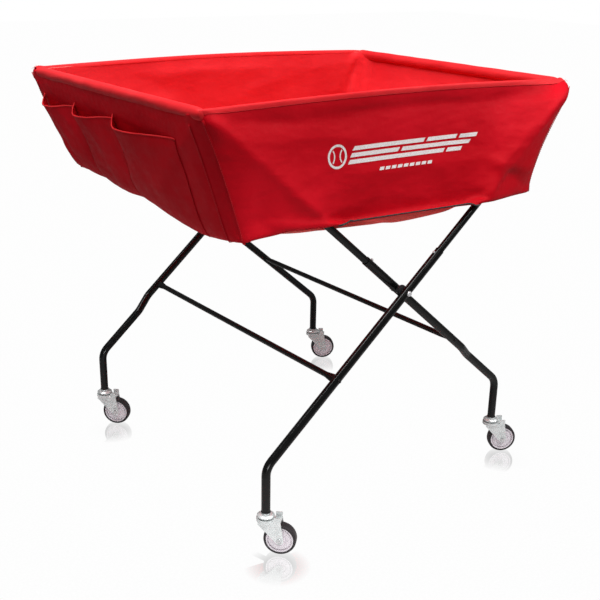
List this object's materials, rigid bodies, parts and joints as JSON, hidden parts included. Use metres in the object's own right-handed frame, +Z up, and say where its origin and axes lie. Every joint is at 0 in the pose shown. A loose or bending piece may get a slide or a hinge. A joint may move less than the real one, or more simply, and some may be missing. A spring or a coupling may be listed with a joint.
{
  "type": "folding ball cart",
  "caption": "Open cloth hopper for balls on a folding scissor frame with swivel casters and end pockets.",
  "frame": {"origin": "on the floor, under the middle of the overall outline", "axes": "+X along the long rim, +Z up, -Y is the plain front side, the pockets are on the -X end"},
  "size_m": [0.972, 0.8653, 0.93],
  "materials": {
    "black_tube": "satin black powder coat",
    "black_crossbar": "satin black powder coat",
    "zinc": "bright zinc plate",
    "fastener": "zinc-plated steel",
    "spring_steel": "bare spring steel",
    "black_nylon": "moulded nylon",
    "wheel_core": "moulded polypropylene",
    "tyre": "matte thermoplastic rubber",
    "red_cloth": "coated polyester oxford cloth",
    "black_tape": "woven grosgrain binding"
  },
  "bodies": {
    "pivot": {"pivot_bolt_front": "fastener", "pivot_spacer_front": "black_nylon", "pivot_nut_front": "fastener", "pivot_bolt_rear": "fastener", "pivot_spacer_rear": "black_nylon", "pivot_nut_rear": "fastener"},
    "basket": {"panel_front": "red_cloth", "panel_rear": "red_cloth", "panel_left": "red_cloth", "panel_right": "red_cloth", "pocket_strip": "red_cloth", "hopper_floor": "red_cloth", "hem_front": "red_cloth", "hem_rear": "red_cloth", "edge_binding_front": "black_tape", "edge_binding_rear": "black_tape"},
    "frame_a": {"upper_bow_a": "black_tube", "lower_leg_a_outer": "black_tube", "lower_leg_a_inner": "black_tube", "crossbar_a": "black_crossbar", "crossbar_rivets_a": "black_crossbar", "rail_sleeve_a": "red_cloth", "snap_spring_a_outer": "spring_steel", "snap_spring_a_inner": "spring_steel", "caster_plug_a_outer": "black_nylon", "caster_stem_a_outer": "zinc", "caster_plug_a_inner": "black_nylon", "caster_stem_a_inner": "zinc"},
    "button_a_outer": {"snap_button_a_outer": "fastener"},
    "caster_a_outer": {"caster_fork_a_outer": "zinc", "caster_axle_a_outer": "fastener"},
    "wheel_a_outer": {"caster_core_a_outer": "wheel_core", "caster_tyre_a_outer": "tyre"},
    "button_a_inner": {"snap_button_a_inner": "fastener"},
    "caster_a_inner": {"caster_fork_a_inner": "zinc", "caster_axle_a_inner": "fastener"},
    "wheel_a_inner": {"caster_core_a_inner": "wheel_core", "caster_tyre_a_inner": "tyre"},
    "frame_b": {"upper_bow_b": "black_tube", "lower_leg_b_outer": "black_tube", "lower_leg_b_inner": "black_tube", "crossbar_b": "black_crossbar", "crossbar_rivets_b": "black_crossbar", "rail_sleeve_b": "red_cloth", "snap_spring_b_outer": "spring_steel", "snap_spring_b_inner": "spring_steel", "caster_plug_b_outer": "black_nylon", "caster_stem_b_outer": "zinc", "caster_plug_b_inner": "black_nylon", "caster_stem_b_inner": "zinc"},
    "button_b_outer": {"snap_button_b_outer": "fastener"},
    "caster_b_outer": {"caster_fork_b_outer": "zinc", "caster_axle_b_outer": "fastener"},
    "wheel_b_outer": {"caster_core_b_outer": "wheel_core", "caster_tyre_b_outer": "tyre"},
    "button_b_inner": {"snap_button_b_inner": "fastener"},
    "caster_b_inner": {"caster_fork_b_inner": "zinc", "caster_axle_b_inner": "fastener"},
    "wheel_b_inner": {"caster_core_b_inner": "wheel_core", "caster_tyre_b_inner": "tyre"}
  },
  "joints": [
    {"name": "scissor_fold", "type": "hinge", "parent": "pivot", "child": "frame_a", "pos_m": [0, 0.016, 0.507], "axis": [0, -1, 0], "range_deg": [0, 42]},
    {"name": "scissor_fold_b", "type": "hinge", "parent": "pivot", "child": "frame_b", "pos_m": [0, 0.016, 0.507], "axis": [0, -1, 0], "range_deg": [-42, 0]},
    {"name": "basket_rise", "type": "slide", "parent": "pivot", "child": "basket", "axis": [0, 0, 1], "range_m": [0, 0.2129]},
    {"name": "press_a_outer", "type": "slide", "parent": "frame_a", "child": "button_a_outer", "axis": [-0.6515, 0, 0.7587], "range_m": [-0.005, 0], "stiffness_N_per_m": 900, "springref_m": 0.001},
    {"name": "swivel_a_outer", "type": "hinge", "parent": "frame_a", "child": "caster_a_outer", "pos_m": [-0.362, -0.38, 0.0755], "axis": [0, 0, 1], "continuous": true},
    {"name": "roll_a_outer", "type": "hinge", "parent": "caster_a_outer", "child": "wheel_a_outer", "pos_m": [-0.34008, -0.40192, 0.035], "axis": [0.7071, 0.7071, 0], "continuous": true},
    {"name": "press_a_inner", "type": "slide", "parent": "frame_a", "child": "button_a_inner", "axis": [-0.6515, 0, 0.7587], "range_m": [-0.005, 0], "stiffness_N_per_m": 900, "springref_m": 0.001},
    {"name": "swivel_a_inner", "type": "hinge", "parent": "frame_a", "child": "caster_a_inner", "pos_m": [-0.362, 0.366, 0.0755], "axis": [0, 0, 1], "continuous": true},
    {"name": "roll_a_inner", "type": "hinge", "parent": "caster_a_inner", "child": "wheel_a_inner", "pos_m": [-0.34008, 0.34408, 0.035], "axis": [0.7071, 0.7071, 0], "continuous": true},
    {"name": "press_b_outer", "type": "slide", "parent": "frame_b", "child": "button_b_outer", "axis": [0.6515, 0, 0.7587], "range_m": [-0.005, 0], "stiffness_N_per_m": 900, "springref_m": 0.001},
    {"name": "swivel_b_outer", "type": "hinge", "parent": "frame_b", "child": "caster_b_outer", "pos_m": [0.362, 0.412, 0.0755], "axis": [0, 0, 1], "continuous": true},
    {"name": "roll_b_outer", "type": "hinge", "parent": "caster_b_outer", "child": "wheel_b_outer", "pos_m": [0.38885, 0.3965, 0.035], "axis": [0.5, 0.866, 0], "continuous": true},
    {"name": "press_b_inner", "type": "slide", "parent": "frame_b", "child": "button_b_inner", "axis": [0.6515, 0, 0.7587], "range_m": [-0.005, 0], "stiffness_N_per_m": 900, "springref_m": 0.001},
    {"name": "swivel_b_inner", "type": "hinge", "parent": "frame_b", "child": "caster_b_inner", "pos_m": [0.362, -0.334, 0.0755], "axis": [0, 0, 1], "continuous": true},
    {"name": "roll_b_inner", "type": "hinge", "parent": "caster_b_inner", "child": "wheel_b_inner", "pos_m": [0.38885, -0.3495, 0.035], "axis": [0.5, 0.866, 0], "continuous": true}
  ],
  "couplings": [
    {"joint": "scissor_fold_b", "follows": "scissor_fold", "ratio": -1},
    {"joint": "basket_rise", "follows": "scissor_fold", "m_per_rad": 0.2901}
  ]
}
